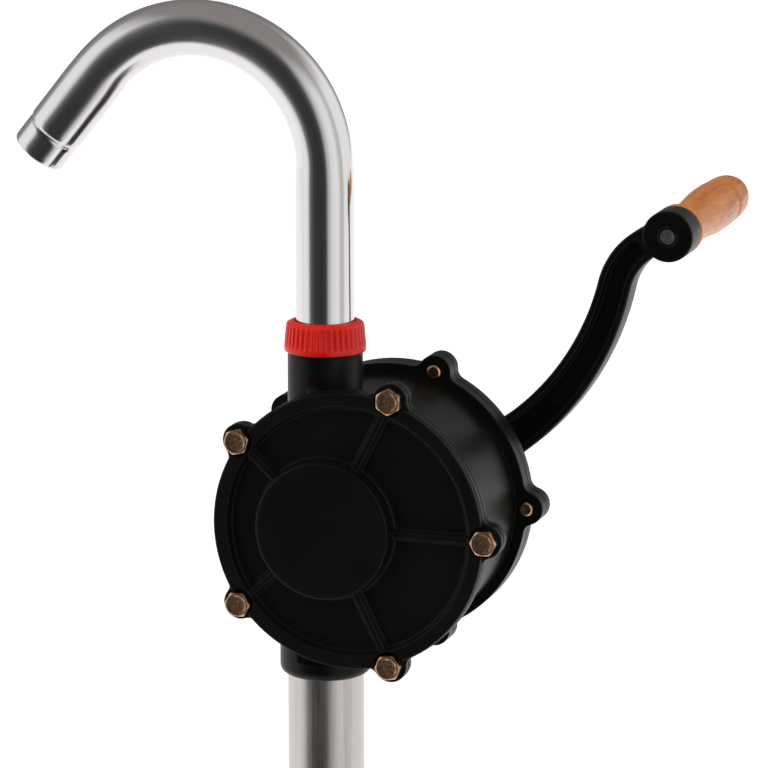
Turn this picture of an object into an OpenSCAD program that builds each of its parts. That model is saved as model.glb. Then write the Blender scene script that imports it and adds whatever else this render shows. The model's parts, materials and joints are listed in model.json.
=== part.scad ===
// Drum barrel pump: a hand-cranked rotary vane pump on a telescopic suction tube, with a swivelling
// gooseneck spout and an adaptor that screws into a drum's 2 inch bung.
// Millimetres. +Z is up the tube, -Y is the front, and the origin is on the drum's bung seat.

/* [Casing] */
// Height of the rotor axis above the bung seat
pump_height = 190; // [170:1:240]
// Chamber axis beside the tube axis
case_offset = 22.5; // [16:0.5:26]
// Front cover's rim face ahead of the tube axis
front_reach = 31.2; // [27:0.2:37]
// Length of the body between its two joint faces
body_len = 80.6; // [66:0.2:97]
// Inside diameter of the pumping chamber
chamber_d = 128; // [105:1:132]
// Outside diameter of the barrel
barrel_d = 142; // [138:1:146]
// Outside diameter of the flanges and the covers
rim_d = 154; // [150:1:160]
// Circle that the five bolts stand on
bolt_circle_d = 155; // [150:1:162]
// Thickness of the front cover's flange
front_cover_t = 6.8; // [6:0.2:9]
// Thickness of the rear cover's flange
rear_cover_t = 6.9; // [6.6:0.1:10]
// Thickness of the body's front flange
front_flange_t = 3; // [2.6:0.2:5]
// Thickness of the body's rear flange and its lugs
rear_flange_t = 7.5; // [6:0.5:12]
// Depth of the body's front lugs
front_lug_t = 6.4; // [5:0.2:12]
// Radius of a lug
lug_r = 9.2; // [9:0.1:12]
// Radius of the blend between a lug and the rim
lug_blend_r = 6; // [4:0.5:8]
// Step from the front rim face back to the lug face
lug_step = 2.8; // [1:0.2:4]
// Thickness of the paper gaskets
gasket_t = 0.6; // [0.4:0.1:1]
// Depth that a cover's spigot enters the chamber
spigot_len = 3.5; // [2.5:0.5:5]

/* [Covers] */
// Diameter of the recessed floor of a cover
recess_d = 137.4; // [125:0.2:142]
// Depth of the recessed floor below the rim
recess_depth = 5; // [3:0.5:6]
// Diameter of the round boss on the front cover
boss_d = 75.8; // [60:0.2:84]
// Height of the boss above the recessed floor
boss_rise = 9.7; // [8.5:0.1:14]
// Width of a rib at its root
rib_w = 6; // [4:0.2:8]
// Width of a rib along its top
rib_top_w = 3; // [2:0.2:4]
// Height of a rib above the floor
rib_rise = 3.4; // [2:0.2:4.8]

/* [Rotor] */
// Distance from the chamber axis to the rotor axis, in a 128 mm chamber
eccentricity = 13; // [8:0.5:13.4]
// Gap between the rotor and the nearest chamber wall
rotor_wall_gap = 0.3; // [0.2:0.05:0.6]
// Gap between the rotor's ends and the covers
rotor_end_gap = 0.25; // [0.1:0.05:0.5]
// Diameter of the rotor shaft
shaft_d = 18; // [15:0.5:20]
// Thickness of a vane
vane_t = 8; // [7:0.5:10]
// Height of a vane along its slot, in a 128 mm chamber
vane_h = 34; // [28:1:36]
// Clearance on each side of a vane in its slot
vane_clear = 0.06; // [0.03:0.01:0.1]
// Radial clearance of the shaft in its bushes
shaft_clear = 0.05; // [0.02:0.01:0.1]
// Wall of a bush
bush_wall = 3; // [2:0.5:4]
// Length of the front bush
front_bush_len = 12; // [9:0.5:13]
// Length of the rear bush
rear_bush_len = 13; // [9:0.5:15]

/* [Outlet and spout] */
// Outside diameter of the outlet neck
neck_d = 41; // [39:0.5:44]
// Height of the collar's lower edge above the rotor axis
collar_base = 93; // [86:1:105]
// Height of the collar nut
collar_h = 17; // [15:0.5:20]
// Outside diameter at the collar's foot
collar_d = 44.8; // [43:0.2:50]
// Outside diameter of the spout tube
spout_d = 32; // [27:0.5:33]
// Wall of the spout tube
spout_wall = 1.5; // [1:0.1:2.5]
// Height of the bend's start above the rotor axis
bend_start = 193; // [160:1:240]
// Radius of the bend, on the tube's centre line
bend_r = 73; // [50:1:95]
// Angle that the spout turns through
bend_angle = 141; // [90:1:165]
// Straight length after the bend
spout_tail = 58.5; // [40:1:90]
// Length of the turned-down hose end of the spout
hose_end_len = 16.5; // [8:0.5:20]
// How much the hose end's radius is turned down
hose_end_step = 0.5; // [0.2:0.1:0.8]
// How much the tube's radius draws in through the bend
bend_draw = 0.3; // [0.2:0.05:0.5]
// Radial clearance of the spout in the neck
spout_clear = 0.06; // [0.03:0.01:0.1]

/* [Suction tube] */
// Outside diameter of the upper tube
upper_tube_d = 42; // [36:0.5:44]
// Outside diameter of the middle tube
middle_tube_d = 37.4; // [35:0.1:38]
// Outside diameter of the lower tube
lower_tube_d = 32.8; // [28:0.1:33.2]
// Wall of each tube
tube_wall = 1.5; // [1:0.1:1.6]
// Outside diameter of the inlet socket
socket_d = 50.6; // [48:0.2:54]
// Distance of the socket's mouth below the rotor axis
socket_drop = 88.2; // [84:0.2:96]
// Depth that the upper tube enters the socket
socket_depth = 20; // [15:1:24]
// Distance of the upper tube's end below the bung seat
upper_tube_drop = 200; // [150:5:330]
// Length of the middle tube
middle_tube_len = 315; // [230:5:340]
// Length of the lower tube
lower_tube_len = 315; // [230:5:340]
// How far each inner tube stands out when pushed in
tube_show = 25; // [12:1:40]
// Radial clearance of a tube in the rolled end of the next
tube_clear = 0.08; // [0.04:0.01:0.1]
// Height of the foot strainer below the lower tube
strainer_h = 28; // [20:1:40]

/* [Bung adaptor] */
// Outside diameter of the 2 inch parallel thread
bung_thread_d = 59.6; // [50:0.1:65]
// Length of the thread below the seat
bung_thread_len = 22; // [16:1:30]
// Outside diameter of the adaptor's flange
bung_flange_d = 74; // [70:1:84]
// Thickness of the rubber gasket
bung_gasket_t = 2.5; // [1.5:0.5:4]
// Height of the adaptor's head above its flange
bung_head_h = 18; // [16:1:24]
// Radial clearance of the tube in the adaptor
adaptor_clear = 0.08; // [0.04:0.01:0.1]

/* [Crank and handle] */
// Distance from the shaft to the handle
arm_throw = 217; // [170:1:262]
// Direction of the arm at rest, above the horizontal
arm_angle = 43.4; // [0:0.1:90]
// Distance of the arm's end disc behind the body's rear face
arm_face = 33.5; // [33.2:0.1:56]
// Thickness of the end disc
disc_t = 20; // [16:0.5:24]
// Diameter of the end disc
disc_d = 28.6; // [26:0.2:34]
// Step from the disc's face back to the arm's face
arm_step = 1.6; // [0.5:0.1:3]
// Depth of the arm's section
arm_t = 17; // [12:0.5:18]
// Width of the arm near the shaft
arm_w_root = 25.7; // [18:0.1:30]
// Width of the arm near the disc
arm_w_tip = 17.2; // [14:0.2:22]
// Width of the arm's raised edges
arm_edge_w = 3.6; // [2.5:0.1:5]
// Depth of the arm's recessed web on each face
arm_web_depth = 4.5; // [2:0.5:6]
// Diameter of the arm's hub
hub_d = 38; // [34:1:44]
// Diameter of the bolt that the handle turns on
handle_bolt_d = 8; // [6:0.5:10]
// Radial clearance of the handle on its bolt
handle_clear = 0.08; // [0.03:0.01:0.1]
// Length of the wooden handle
handle_len = 127; // [95:1:150]
// Diameter of the handle at its belly
handle_d = 28; // [24:0.2:34]
// Diameter of the handle at its neck
handle_neck_d = 22.6; // [19:0.2:26]

/* [Fasteners] */
// Thread diameter of the cover bolts
bolt_d = 8; // [6:0.5:8]
// Width across the flats of the bolt heads
bolt_af = 13; // [10:0.5:13.4]
// Height of the bolt heads
bolt_head_h = 5.3; // [4:0.1:6]
// Radial clearance of a bolt in a cover
bolt_clear = 0.4; // [0.2:0.1:0.5]

/* [Hidden] */
$fn = 96;

cut = 1;                                   // how far a cutter runs past a face
touch = 0.02;                              // gap between two faces that rest on each other

// Planes along Y, from the front to the back
front_rim_y = -front_reach;
front_lug_y = front_rim_y + lug_step;
bolt_seat_face_y = front_lug_y + 0.2;
front_joint_y = front_rim_y + front_cover_t;
body_front_y = front_joint_y + gasket_t;
body_rear_y = body_front_y + body_len;
rear_joint_y = body_rear_y + gasket_t;
rear_rim_y = rear_joint_y + rear_cover_t;
front_floor_y = front_rim_y + recess_depth;
rear_floor_y = rear_rim_y - recess_depth;
chamber_front_y = body_front_y + spigot_len;
chamber_rear_y = body_rear_y - spigot_len;
boss_face_y = front_floor_y - boss_rise;
gland_face_y = rear_floor_y + 21;          // end of the stuffing box
rear_boss_y = rear_floor_y + 11;           // face of the rear boss
disc_front_y = body_rear_y + arm_face;
arm_front_y = disc_front_y + arm_step;
disc_rear_y = disc_front_y + disc_t;
hub_front_y = disc_front_y - 1.2;
hub_rear_y = disc_rear_y + 0.8;

// Radii of the running parts
chamber_r = chamber_d / 2;
shaft_r = shaft_d / 2;
bush_r = shaft_r + shaft_clear + bush_wall;
rear_boss_r = 30;
chamber_scale = chamber_d / 128;            // the rotor's set-over and its vanes follow the chamber
set_over = eccentricity * chamber_scale;
vane_height = vane_h * chamber_scale;
rotor_r = chamber_r - set_over - rotor_wall_gap;
rotor_x = case_offset - set_over;
slot_floor_r = rotor_r - vane_height - 3.6;
vane_top_r = rotor_r - 0.1;
seal_r = bush_r + 2;
spindle_r = shaft_r - 1;                   // shaft inside the crank's hub
shaft_thread_r = 6;

// Heights along the tube axis
collar_base_z = pump_height + collar_base;
collar_top_z = collar_base_z + collar_h;
neck_top_z = collar_top_z - 5;
neck_thread_r = neck_d / 2 - 1.2;
collar_bore_r = neck_thread_r + 0.08;
seal_t = 1.2;
bead_t = 1.4;
bead_reach = 2.4;                          // bead's height over the tube
bend_lap = 0.5;                            // straight section carried into the bend
groove_w = 1.6;
groove_depth = 0.4;
bead_z = neck_top_z + seal_t + touch;
spout_r = spout_d / 2;
spout_foot_z = neck_top_z - 20;
port_r = spout_r - 2.5;
socket_z = pump_height - socket_drop;
tube_top_z = socket_z + socket_depth;
inlet_gasket_t = 2;
upper_tube_r = upper_tube_d / 2;
middle_tube_r = middle_tube_d / 2;
lower_tube_r = lower_tube_d / 2;
upper_tube_end = -upper_tube_drop;
middle_tube_end = upper_tube_end - tube_show;
lower_tube_end = middle_tube_end - tube_show;
middle_tube_top = middle_tube_end + middle_tube_len;
lower_tube_top = lower_tube_end + lower_tube_len;
roll_h = 6;                                // rolled-in end of a tube
ring_h = 8;                                // sliding ring on the top of an inner tube
ring_clear = 0.08;

head_turns = [0, 18, -9, 24, 19];          // how far past its lug each front bolt head is turned

// Adaptor
flange_z = bung_gasket_t;
flange_t = 6;
head_top_z = flange_z + flange_t + bung_head_h;
head_r = bung_flange_d / 2 - 9;
undercut_r = bung_thread_d / 2 - 1;        // neck between the thread and the flange
screw_z = flange_z + flange_t + bung_head_h / 2;
screw_r = 4;
knob_r = 13;
knob_h = 10;
knob_y = head_r + 10;

// S-shaped centre line of the arm, in a frame whose x axis runs from the shaft to the handle
sweep_in = -26.6;                          // heading at the shaft
sweep_peak = 33.9;                         // steepest heading
sweep_out = -30.7;                          // heading at the disc
long_bend = 0.706 * arm_throw;
short_bend = 0.178 * arm_throw;
arm_steps = 20;

// Handle
grip_y = disc_rear_y + 0.6;
grip_end_y = grip_y + handle_len;
bolt_seat_y = grip_end_y - 12;             // floor of the counterbore in the handle's end
counterbore_r = handle_bolt_d / 2 + 3.6;

// ---- helpers ----

// Round bar along Y, from y0 to y1
module y_bar(r, y0, y1) {
    translate([0, y1, 0]) rotate([90, 0, 0]) cylinder(r = r, h = y1 - y0);
}

// Flat outline in X and Z, extruded along Y from y0 to y1
module y_plate(y0, y1) {
    translate([0, y1, 0]) rotate([90, 0, 0]) linear_extrude(y1 - y0) children();
}

// Tube along Z
module z_tube(r, bore, z0, z1) {
    translate([0, 0, z0]) difference() {
        cylinder(r = r, h = z1 - z0);
        translate([0, 0, -cut]) cylinder(r = bore, h = z1 - z0 + 2 * cut);
    }
}

// Ring along Y
module y_ring(r, bore, y0, y1) {
    difference() {
        y_bar(r, y0, y1);
        y_bar(bore, y0 - cut, y1 + cut);
    }
}

module at_case() {
    translate([case_offset, 0, pump_height]) children();
}

module at_rotor() {
    translate([rotor_x, 0, pump_height]) children();
}

// Children repeated at the five bolts, round the chamber axis
module at_bolts() {
    for (i = [0:4])
        at_case() rotate([0, -72 * i, 0]) translate([bolt_circle_d / 2, 0, 0]) children();
}

// Points of an arc from angle a0 to a1
function arc(cx, cy, r, a0, a1, n = 8) =
    [for (i = [0:n]) let (a = a0 + (a1 - a0) * i / n) [cx + r * cos(a), cy + r * sin(a)]];

// Hexagonal prism along Y
module y_hex(af, y0, y1) {
    y_plate(y0, y1) circle(r = af / 2 / cos(30), $fn = 6);
}

// Points of one lug that points along +X, with the concave blends on both sides of it
rim_r = rim_d / 2;
lug_x = bolt_circle_d / 2;
blend_far = rim_r + lug_blend_r;
blend_near = lug_r + lug_blend_r;
blend_at = acos((blend_far * blend_far + lug_x * lug_x - blend_near * blend_near)
                / (2 * blend_far * lug_x));
blend_x = blend_far * cos(blend_at);
blend_z = blend_far * sin(blend_at);
lug_turn = atan2(blend_z, blend_x - lug_x);
lug_tip = arc(lug_x, 0, lug_r, -lug_turn, lug_turn, 24);
lug_blend = arc(blend_x, blend_z, lug_blend_r, lug_turn + 180, blend_at + 180);
lug_points = concat([for (i = [len(lug_blend) - 1:-1:0]) [lug_blend[i][0], -lug_blend[i][1]]],
                    [for (i = [1:len(lug_tip) - 2]) lug_tip[i]], lug_blend);
rim_steps = 20;
function turned(p, a) = [p[0] * cos(a) - p[1] * sin(a), p[0] * sin(a) + p[1] * cos(a)];

// Flange with its five lugs, round the chamber axis
module flange(y0, y1) {
    at_case() y_plate(y0, y1) polygon([for (k = [0:4]) each concat(
        [for (p = lug_points) turned(p, 72 * k)],
        [for (i = [1:rim_steps - 1])
            turned([rim_r, 0], 72 * k + blend_at + (72 - 2 * blend_at) * i / rim_steps)])]);
}

// Deeper part of the front lugs, joined to the barrel and set in a little from the flange's outline
module deep_lugs(y0, y1) {
    r = lug_r - 0.5;
    at_case() for (k = [0:4]) rotate([0, -72 * k, 0]) y_plate(y0, y1)
        polygon(concat([[chamber_r + 2, -r]], arc(lug_x, 0, r, -90, 90, 24), [[chamber_r + 2, r]]));
}

// Ribs from the boss to the rim, one towards each bolt, with sloping sides
module ribs(root_y, top_y, inner, outer) {
    for (i = [0:4]) {
        bx = case_offset + bolt_circle_d / 2 * cos(72 * i) - rotor_x;
        bz = bolt_circle_d / 2 * sin(72 * i);
        at_rotor() rotate([0, -atan2(bz, bx), 0]) translate([inner, 0, 0])
            rotate([90, 0, 90]) linear_extrude(norm([bx, bz]) - inner - outer)
                polygon([[root_y, -rib_w / 2], [top_y, -rib_top_w / 2],
                         [top_y, rib_top_w / 2], [root_y, rib_w / 2]]);
    }
}

// ---- adaptor ----

module bung_adaptor() {
    color("dimgray") difference() {
        union() {
            translate([0, 0, -bung_thread_len]) cylinder(r = bung_thread_d / 2, h = bung_thread_len);
            translate([0, 0, -1]) cylinder(r = undercut_r, h = flange_z + 2);
            translate([0, 0, flange_z]) cylinder(r = bung_flange_d / 2, h = flange_t);
            translate([0, 0, flange_z]) cylinder(r = head_r, h = flange_t + bung_head_h);
        }
        translate([0, 0, -bung_thread_len - cut])
            cylinder(r = upper_tube_r + adaptor_clear, h = bung_thread_len + head_top_z + 2 * cut);
        translate([0, 0, screw_z]) y_bar(screw_r + 0.06, -head_r - cut, -upper_tube_r);
    }
}

module bung_gasket() {
    color("black") z_tube(bung_flange_d / 2 - 0.5, undercut_r + 0.1, 0, flange_z);
}

// Turning knob with rounded lobes on a short screw
module clamp_screw() {
    lobes = 6;
    color("black") translate([0, 0, screw_z]) union() {
        y_bar(screw_r, -knob_y, -upper_tube_r - 0.1);
        y_bar(7, -knob_y, -knob_y + 4);
        y_plate(-knob_y - knob_h, -knob_y)
            polygon([for (a = [0:5:355]) let (r = knob_r - 1.6 + 1.6 * cos(lobes * a))
                     [r * cos(a), r * sin(a)]]);
    }
}

// ---- suction tubes ----

module upper_tube() {
    color("silver") difference() {
        translate([0, 0, upper_tube_end])
            cylinder(r = upper_tube_r, h = tube_top_z - inlet_gasket_t - upper_tube_end);
        translate([0, 0, upper_tube_end + roll_h])
            cylinder(r = upper_tube_r - tube_wall, h = tube_top_z - upper_tube_end);
        translate([0, 0, upper_tube_end - cut])
            cylinder(r = middle_tube_r + tube_clear, h = roll_h + 2 * cut);
    }
}

// An inner tube, whose lower end is rolled in round the next tube
module inner_tube(r, z0, z1, next_r) {
    difference() {
        translate([0, 0, z0]) cylinder(r = r, h = z1 - z0);
        translate([0, 0, z0 + roll_h]) cylinder(r = r - tube_wall, h = z1 - z0);
        translate([0, 0, z0 - cut]) cylinder(r = next_r, h = roll_h + 2 * cut);
    }
}

module middle_tube() {
    color("silver")
        inner_tube(middle_tube_r, middle_tube_end, middle_tube_top, lower_tube_r + tube_clear);
}

module lower_tube() {
    color("silver")
        inner_tube(lower_tube_r, lower_tube_end, lower_tube_top, lower_tube_r - tube_wall);
}

module middle_tube_ring() {
    color("white") z_tube(upper_tube_r - tube_wall - ring_clear, middle_tube_r,
                          middle_tube_top - ring_h, middle_tube_top);
}

module lower_tube_ring() {
    color("white") z_tube(middle_tube_r - tube_wall - ring_clear, lower_tube_r,
                          lower_tube_top - ring_h, lower_tube_top);
}

// Cup with slots, pushed over the lower tube's end
module foot_strainer() {
    r = lower_tube_r + 2;
    slots = 8;
    color("black") difference() {
        translate([0, 0, lower_tube_end - strainer_h]) cylinder(r = r, h = strainer_h + 12);
        translate([0, 0, lower_tube_end - strainer_h + 3]) cylinder(r = lower_tube_r - tube_wall,
                                                                   h = strainer_h + 12);
        translate([0, 0, lower_tube_end]) cylinder(r = lower_tube_r, h = 12 + cut);
        for (i = [0:slots / 2 - 1])
            translate([0, 0, lower_tube_end - strainer_h + 6]) rotate([0, 0, 360 / slots * i])
                translate([-r - cut, -2, 0]) cube([2 * r + 2 * cut, 4, strainer_h - 11]);
    }
}

module inlet_gasket() {
    color("black") z_tube(upper_tube_r - touch, port_r, tube_top_z - inlet_gasket_t, tube_top_z);
}

// ---- casing ----

module pump_body() {
    corner = 5;                            // rounded edge of the socket's mouth
    socket_r = socket_d / 2;
    color([0.12, 0.12, 0.13]) difference() {
        union() {
            at_case() y_bar(barrel_d / 2, body_front_y, body_rear_y);
            flange(body_front_y, body_front_y + front_flange_t);
            deep_lugs(body_front_y + front_flange_t / 2, body_front_y + front_lug_t);
            flange(body_rear_y - rear_flange_t, body_rear_y);
            translate([0, 0, pump_height]) cylinder(r = neck_d / 2, h = collar_base - 0.4);
            translate([0, 0, pump_height]) cylinder(r = neck_thread_r, h = neck_top_z - pump_height);
            rotate_extrude() polygon(concat([[0, pump_height], [0, socket_z]],
                arc(socket_r - corner, socket_z + corner, corner, -90, 0), [[socket_r, pump_height]]));
            // small cast nub at the foot of the neck, behind the front flange
            translate([0, body_front_y + front_flange_t + 0.6, pump_height + rim_r - 4.2])
                sphere(r = 3.6);
        }
        at_case() y_bar(chamber_r, body_front_y - cut, body_rear_y + cut);
        // joint face: the socket and the nub stop at it wherever the front cover lies
        at_case() translate([-rim_r, body_front_y - 20, -rim_r - 1])
            cube([2 * rim_r, 20, 2 * rim_r + 2]);
        translate([0, 0, pump_height]) cylinder(r = port_r, h = collar_base + collar_h);
        translate([0, 0, spout_foot_z - touch]) cylinder(r = spout_r + spout_clear, h = 40);
        translate([0, 0, tube_top_z - cut]) cylinder(r = port_r, h = pump_height - tube_top_z);
        translate([0, 0, socket_z - cut]) cylinder(r = upper_tube_r, h = socket_depth + cut);
        at_bolts() y_bar(bolt_d / 2, body_front_y - cut, body_front_y + front_lug_t + cut);
        at_bolts() y_bar(bolt_d / 2, body_rear_y - rear_flange_t - cut, body_rear_y + cut);
    }
}

module front_cover() {
    color([0.12, 0.12, 0.13]) difference() {
        union() {
            difference() {
                union() {
                    at_case() y_bar(rim_r - 0.4, front_rim_y, front_joint_y - cut);
                    at_case() y_bar(chamber_r - 0.1, front_joint_y - cut, chamber_front_y);
                    flange(front_lug_y, front_joint_y);
                }
                at_case() y_bar(recess_d / 2, front_rim_y - cut, front_floor_y);
            }
            at_rotor() y_bar(boss_d / 2, boss_face_y, front_floor_y + cut);
            ribs(front_floor_y + 0.5, front_floor_y - rib_rise, boss_d / 2 - 3, 10);
        }
        at_rotor() y_bar(bush_r, chamber_front_y - front_bush_len, chamber_front_y + cut);
        at_bolts() y_bar(bolt_d / 2 + bolt_clear, front_rim_y - cut, front_joint_y + cut);
        // machined seat round each bolt head
        at_bolts() y_bar(bolt_af / 2 / cos(30) + 0.6, front_rim_y - cut, bolt_seat_face_y);
    }
}

module rear_cover() {
    box_r = seal_r + 5;                    // stuffing box
    color([0.12, 0.12, 0.13]) difference() {
        union() {
            difference() {
                union() {
                    flange(rear_joint_y, rear_rim_y);
                    at_case() y_bar(chamber_r - 0.1, chamber_rear_y, rear_joint_y + cut);
                }
                at_case() y_bar(recess_d / 2, rear_floor_y, rear_rim_y + cut);
            }
            at_rotor() y_bar(rear_boss_r, rear_floor_y - cut, rear_boss_y);
            at_rotor() y_bar(box_r, rear_floor_y - cut, gland_face_y);
            ribs(rear_floor_y - 0.5, rear_floor_y + rib_rise, rear_boss_r - 3, 10);
        }
        at_rotor() y_bar(bush_r, chamber_rear_y - cut, chamber_rear_y + rear_bush_len);
        at_rotor() y_bar(seal_r, chamber_rear_y + rear_bush_len, gland_face_y + cut);
        at_bolts() y_bar(bolt_d / 2 + bolt_clear, rear_joint_y - cut, rear_rim_y + cut);
        // pocket that keeps the bolt head from turning
        at_bolts() y_hex(bolt_af + 0.4, rear_rim_y - bolt_head_h + 1.4, rear_rim_y + cut);
    }
}

// Flat gasket with the outline of a flange
module flange_gasket(y0) {
    difference() {
        union() {
            at_case() y_bar(rim_r - 0.3, y0, y0 + gasket_t);
            at_bolts() y_bar(lug_r - 0.4, y0, y0 + gasket_t);
        }
        at_case() y_bar(chamber_r, y0 - cut, y0 + gasket_t + cut);
        at_bolts() y_bar(bolt_d / 2 + bolt_clear, y0 - cut, y0 + gasket_t + cut);
    }
}

module front_gasket() {
    color("tan") flange_gasket(front_joint_y);
}

module rear_gasket() {
    color("tan") flange_gasket(body_rear_y);
}

// Hexagon bolt along Y. The head's bearing face is at the origin and the shank runs along +Y.
module hex_bolt(shank) {
    head_r = bolt_af / 2 / cos(30);
    chamfer = 1;
    union() {
        intersection() {
            y_hex(bolt_af, -bolt_head_h, 0);
            union() {
                y_bar(head_r + cut, -bolt_head_h + chamfer, 0);
                translate([0, -bolt_head_h + chamfer, 0]) rotate([90, 0, 0])
                    cylinder(r1 = head_r + 0.3, r2 = head_r - chamfer * 1.5, h = chamfer);
            }
        }
        y_bar(bolt_d / 2 - 0.1, -cut, shank - 0.8);
        translate([0, shank, 0]) rotate([90, 0, 0])
            cylinder(r1 = bolt_d / 2 - 0.9, r2 = bolt_d / 2 - 0.1, h = 0.8);
    }
}

module front_bolts() {
    // each head stops at its own turn
    color([0.72, 0.52, 0.26]) for (i = [0:4])
        at_case() rotate([0, -72 * i, 0]) translate([bolt_circle_d / 2, bolt_seat_face_y, 0])
            rotate([0, -head_turns[i], 0])
                hex_bolt(body_front_y + front_lug_t - bolt_seat_face_y);
}

module rear_bolts() {
    color([0.72, 0.52, 0.26])
        at_bolts() translate([0, rear_rim_y - bolt_head_h + 1.4, 0]) rotate([0, 0, 180])
            hex_bolt(rear_cover_t - bolt_head_h + 1.4 + gasket_t + rear_flange_t + 2);
}

// ---- shaft, bushes and seal ----

module front_bush() {
    color("goldenrod") at_rotor()
        y_ring(bush_r, shaft_r + shaft_clear, chamber_front_y - front_bush_len, chamber_front_y);
}

module rear_bush() {
    color("goldenrod") at_rotor()
        y_ring(bush_r, shaft_r + shaft_clear, chamber_rear_y, chamber_rear_y + rear_bush_len);
}

module shaft_seal() {
    seal_y = chamber_rear_y + rear_bush_len;
    color("black") at_rotor() y_ring(seal_r, shaft_r + shaft_clear, seal_y, gland_face_y - 8);
}

module gland_nut() {
    color("goldenrod") at_rotor() difference() {
        union() {
            y_bar(seal_r, gland_face_y - 8, gland_face_y + 1);
            y_hex(2 * seal_r + 8, gland_face_y + touch, gland_face_y + 6);
        }
        y_bar(shaft_r + 0.4, gland_face_y - 8 - cut, gland_face_y + 6 + cut);
    }
}

module rotor_shaft() {
    key_seat_y = arm_front_y + 1;
    color("silver") at_rotor() difference() {
        union() {
            y_bar(shaft_r, chamber_front_y - front_bush_len + 0.4, hub_front_y);
            y_bar(spindle_r, hub_front_y - cut, hub_rear_y);
            y_bar(shaft_thread_r, hub_rear_y - cut, hub_rear_y + 14);
        }
        rotate([0, -arm_angle, 0]) translate([spindle_r - 2.5, key_seat_y, -2.5])
            cube([6, 14, 5]);
    }
}

// ---- rotor and vanes ----

rotor_front_y = chamber_front_y + rotor_end_gap;
rotor_rear_y = chamber_rear_y - rotor_end_gap;

module rotor() {
    slot = vane_t + 2 * vane_clear;
    color("gray") at_rotor() difference() {
        y_bar(rotor_r, rotor_front_y, rotor_rear_y);
        y_bar(shaft_r, rotor_front_y - cut, rotor_rear_y + cut);
        for (k = [0:3]) rotate([0, -arm_angle - 90 * k, 0])
            translate([slot_floor_r, rotor_front_y - cut, -slot / 2])
                cube([rotor_r, rotor_rear_y - rotor_front_y + 2 * cut, slot]);
    }
}

spring_hole_r = 2.7;
spring_hole_depth = 24;

// Vane number k, pushed into its slot, with a blind hole for its spring
module vane(k) {
    color([0.35, 0.2, 0.1]) at_rotor() rotate([0, -arm_angle - 90 * k, 0]) difference() {
        translate([vane_top_r - vane_height, rotor_front_y, -vane_t / 2])
            cube([vane_height, rotor_rear_y - rotor_front_y, vane_t]);
        translate([vane_top_r - vane_height - cut, (rotor_front_y + rotor_rear_y) / 2, 0])
            rotate([0, 90, 0]) cylinder(r = spring_hole_r, h = spring_hole_depth + cut);
    }
}

module vane_1() {
    vane(0);
}

module vane_2() {
    vane(1);
}

module vane_3() {
    vane(2);
}

module vane_4() {
    vane(3);
}

// Coil spring from the origin along +X
module coil_spring(length, coil_r, wire_r, turns) {
    per_turn = 10;
    sides = 5;
    n = turns * per_turn;
    lead = (length - 2 * wire_r) / n;
    function ring_point(i, j) =
        let (a = 360 * i / per_turn, b = 360 * j / sides, r = coil_r + wire_r * cos(b))
        [wire_r + lead * i + wire_r * sin(b), r * cos(a), r * sin(a)];
    points = [for (i = [0:n], j = [0:sides - 1]) ring_point(i, j)];
    sides_list = [for (i = [0:n - 1], j = [0:sides - 1])
        let (a = i * sides + j, b = i * sides + (j + 1) % sides) [a, b, b + sides, a + sides]];
    first = [for (j = [0:sides - 1]) sides - 1 - j];
    last = [for (j = [0:sides - 1]) n * sides + j];
    polyhedron(points, concat(sides_list, [first, last]));
}

module vane_springs() {
    spring_len = vane_top_r - vane_height + spring_hole_depth - slot_floor_r - 0.2;
    color("silver") at_rotor() for (k = [0:3]) rotate([0, -arm_angle - 90 * k, 0])
        translate([slot_floor_r + 0.1, (rotor_front_y + rotor_rear_y) / 2, 0])
            coil_spring(spring_len, spring_hole_r - 0.75, 0.5, 9);
}

// ---- outlet ----

module outlet_seal() {
    color("black") z_tube(spout_r + 2.6, spout_r + spout_clear, neck_top_z, neck_top_z + seal_t);
}

module collar_nut() {
    flutes = 40;
    foot_h = 4.5;
    flute_r = collar_d / 2 - 0.7;
    lip_z = bead_z + bead_t + 0.1;
    color("red") difference() {
        union() {
            translate([0, 0, collar_base_z]) cylinder(r = collar_d / 2, h = foot_h);
            translate([0, 0, collar_base_z + foot_h - 1]) linear_extrude(collar_h - foot_h - 1)
                polygon([for (i = [0:flutes * 6 - 1]) let (a = 360 * i / (flutes * 6),
                         r = flute_r - 0.9 + 0.9 * abs(cos(a * flutes / 2))) [r * cos(a), r * sin(a)]]);
            translate([0, 0, collar_top_z - 2.2])
                cylinder(r1 = flute_r - 1, r2 = flute_r - 2.4, h = 2.2);
        }
        translate([0, 0, collar_base_z - cut])
            cylinder(r = collar_bore_r, h = lip_z - collar_base_z + cut);
        translate([0, 0, lip_z - cut]) cylinder(r = spout_r + 0.35, h = collar_h);
    }
}

// One length of the spout: the two straight ends, with the bend drawn in between them
module spout_form(straight_r, bend_tube_r, foot_z, tail_len) {
    z0 = pump_height + bend_start;
    translate([0, 0, foot_z]) cylinder(r = straight_r, h = z0 + bend_lap - foot_z);
    translate([-bend_r, 0, z0]) rotate([90, 0, 0]) rotate_extrude(angle = bend_angle)
        translate([bend_r, 0]) circle(r = bend_tube_r);
    at_tail() translate([0, 0, -bend_lap]) cylinder(r = straight_r, h = tail_len + bend_lap);
}

// Frame at the end of the bend, with +Z along the tail
module at_tail() {
    translate([-bend_r, 0, pump_height + bend_start]) rotate([0, -bend_angle, 0])
        translate([bend_r, 0, 0]) children();
}

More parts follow.
